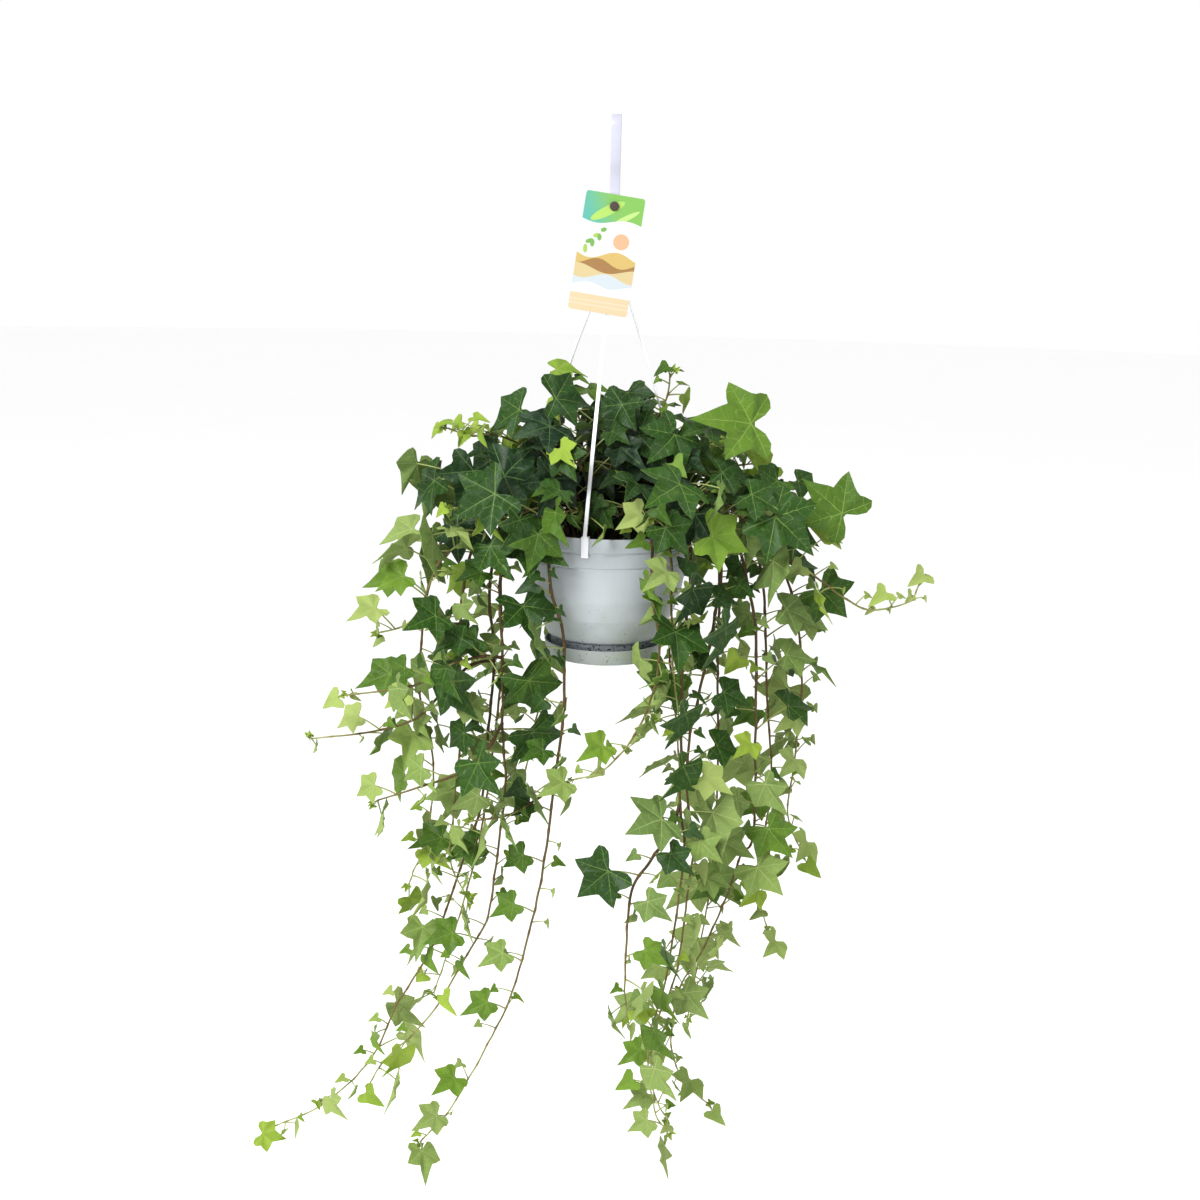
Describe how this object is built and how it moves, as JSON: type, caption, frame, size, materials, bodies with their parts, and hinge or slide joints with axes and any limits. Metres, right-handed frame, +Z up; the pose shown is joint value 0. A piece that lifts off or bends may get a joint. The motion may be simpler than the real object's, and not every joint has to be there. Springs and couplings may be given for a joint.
{
  "type": "potted english ivy in a hanging pot",
  "caption": "Trailing english ivy in a white plastic hanging pot with a saucer, a strap hanger and a picture card",
  "frame": {"origin": "the middle of the hook's level inner top, the spot that the whole pot hangs by", "axes": "+Z up, the card and the front strand face -Y, +X to the right seen from the front"},
  "size_m": [0.7391, 0.3368, 1.1718],
  "materials": {
    "pot_plastic": "satin",
    "hanger_plastic": "satin",
    "card": "satin",
    "soil": "matte",
    "ivy": "satin"
  },
  "bodies": {
    "root": {"pot": "pot_plastic", "saucer": "pot_plastic", "hanger_hook": "hanger_plastic", "hanger_strand_front": "hanger_plastic", "hanger_strand_right": "hanger_plastic", "hanger_strand_left": "hanger_plastic", "label_card": "card", "soil": "soil", "crown_front_left": "ivy", "crown_left": "ivy", "twig_left_high": "ivy", "twig_left_low": "ivy", "crown_top_left": "ivy", "crown_top_right": "ivy", "crown_middle": "ivy", "crown_front_right": "ivy", "crown_right_high": "ivy", "crown_right": "ivy", "crown_right_outer": "ivy", "crown_right_front": "ivy", "crown_back_left": "ivy", "crown_back_middle": "ivy", "crown_back_right": "ivy", "crown_low_left": "ivy", "crown_low_middle": "ivy", "crown_low_right": "ivy", "crown_middle_left": "ivy", "crown_middle_right": "ivy", "crown_top": "ivy", "trail_left_inner": "ivy", "trail_left_middle": "ivy", "trail_left_outer": "ivy", "shoot_left_high": "ivy", "trail_left_side": "ivy", "trail_left_short": "ivy", "trail_right_front": "ivy", "trail_right_inner": "ivy", "trail_right_outer": "ivy", "trail_right_side": "ivy", "trail_right_back": "ivy", "shoot_right_far": "ivy", "trail_middle": "ivy", "shoot_middle_right": "ivy", "trail_back_left_long": "ivy", "trail_back_left": "ivy", "trail_back_middle": "ivy", "trail_back_right": "ivy", "trail_back_right_long": "ivy"}
  },
  "joints": []
}
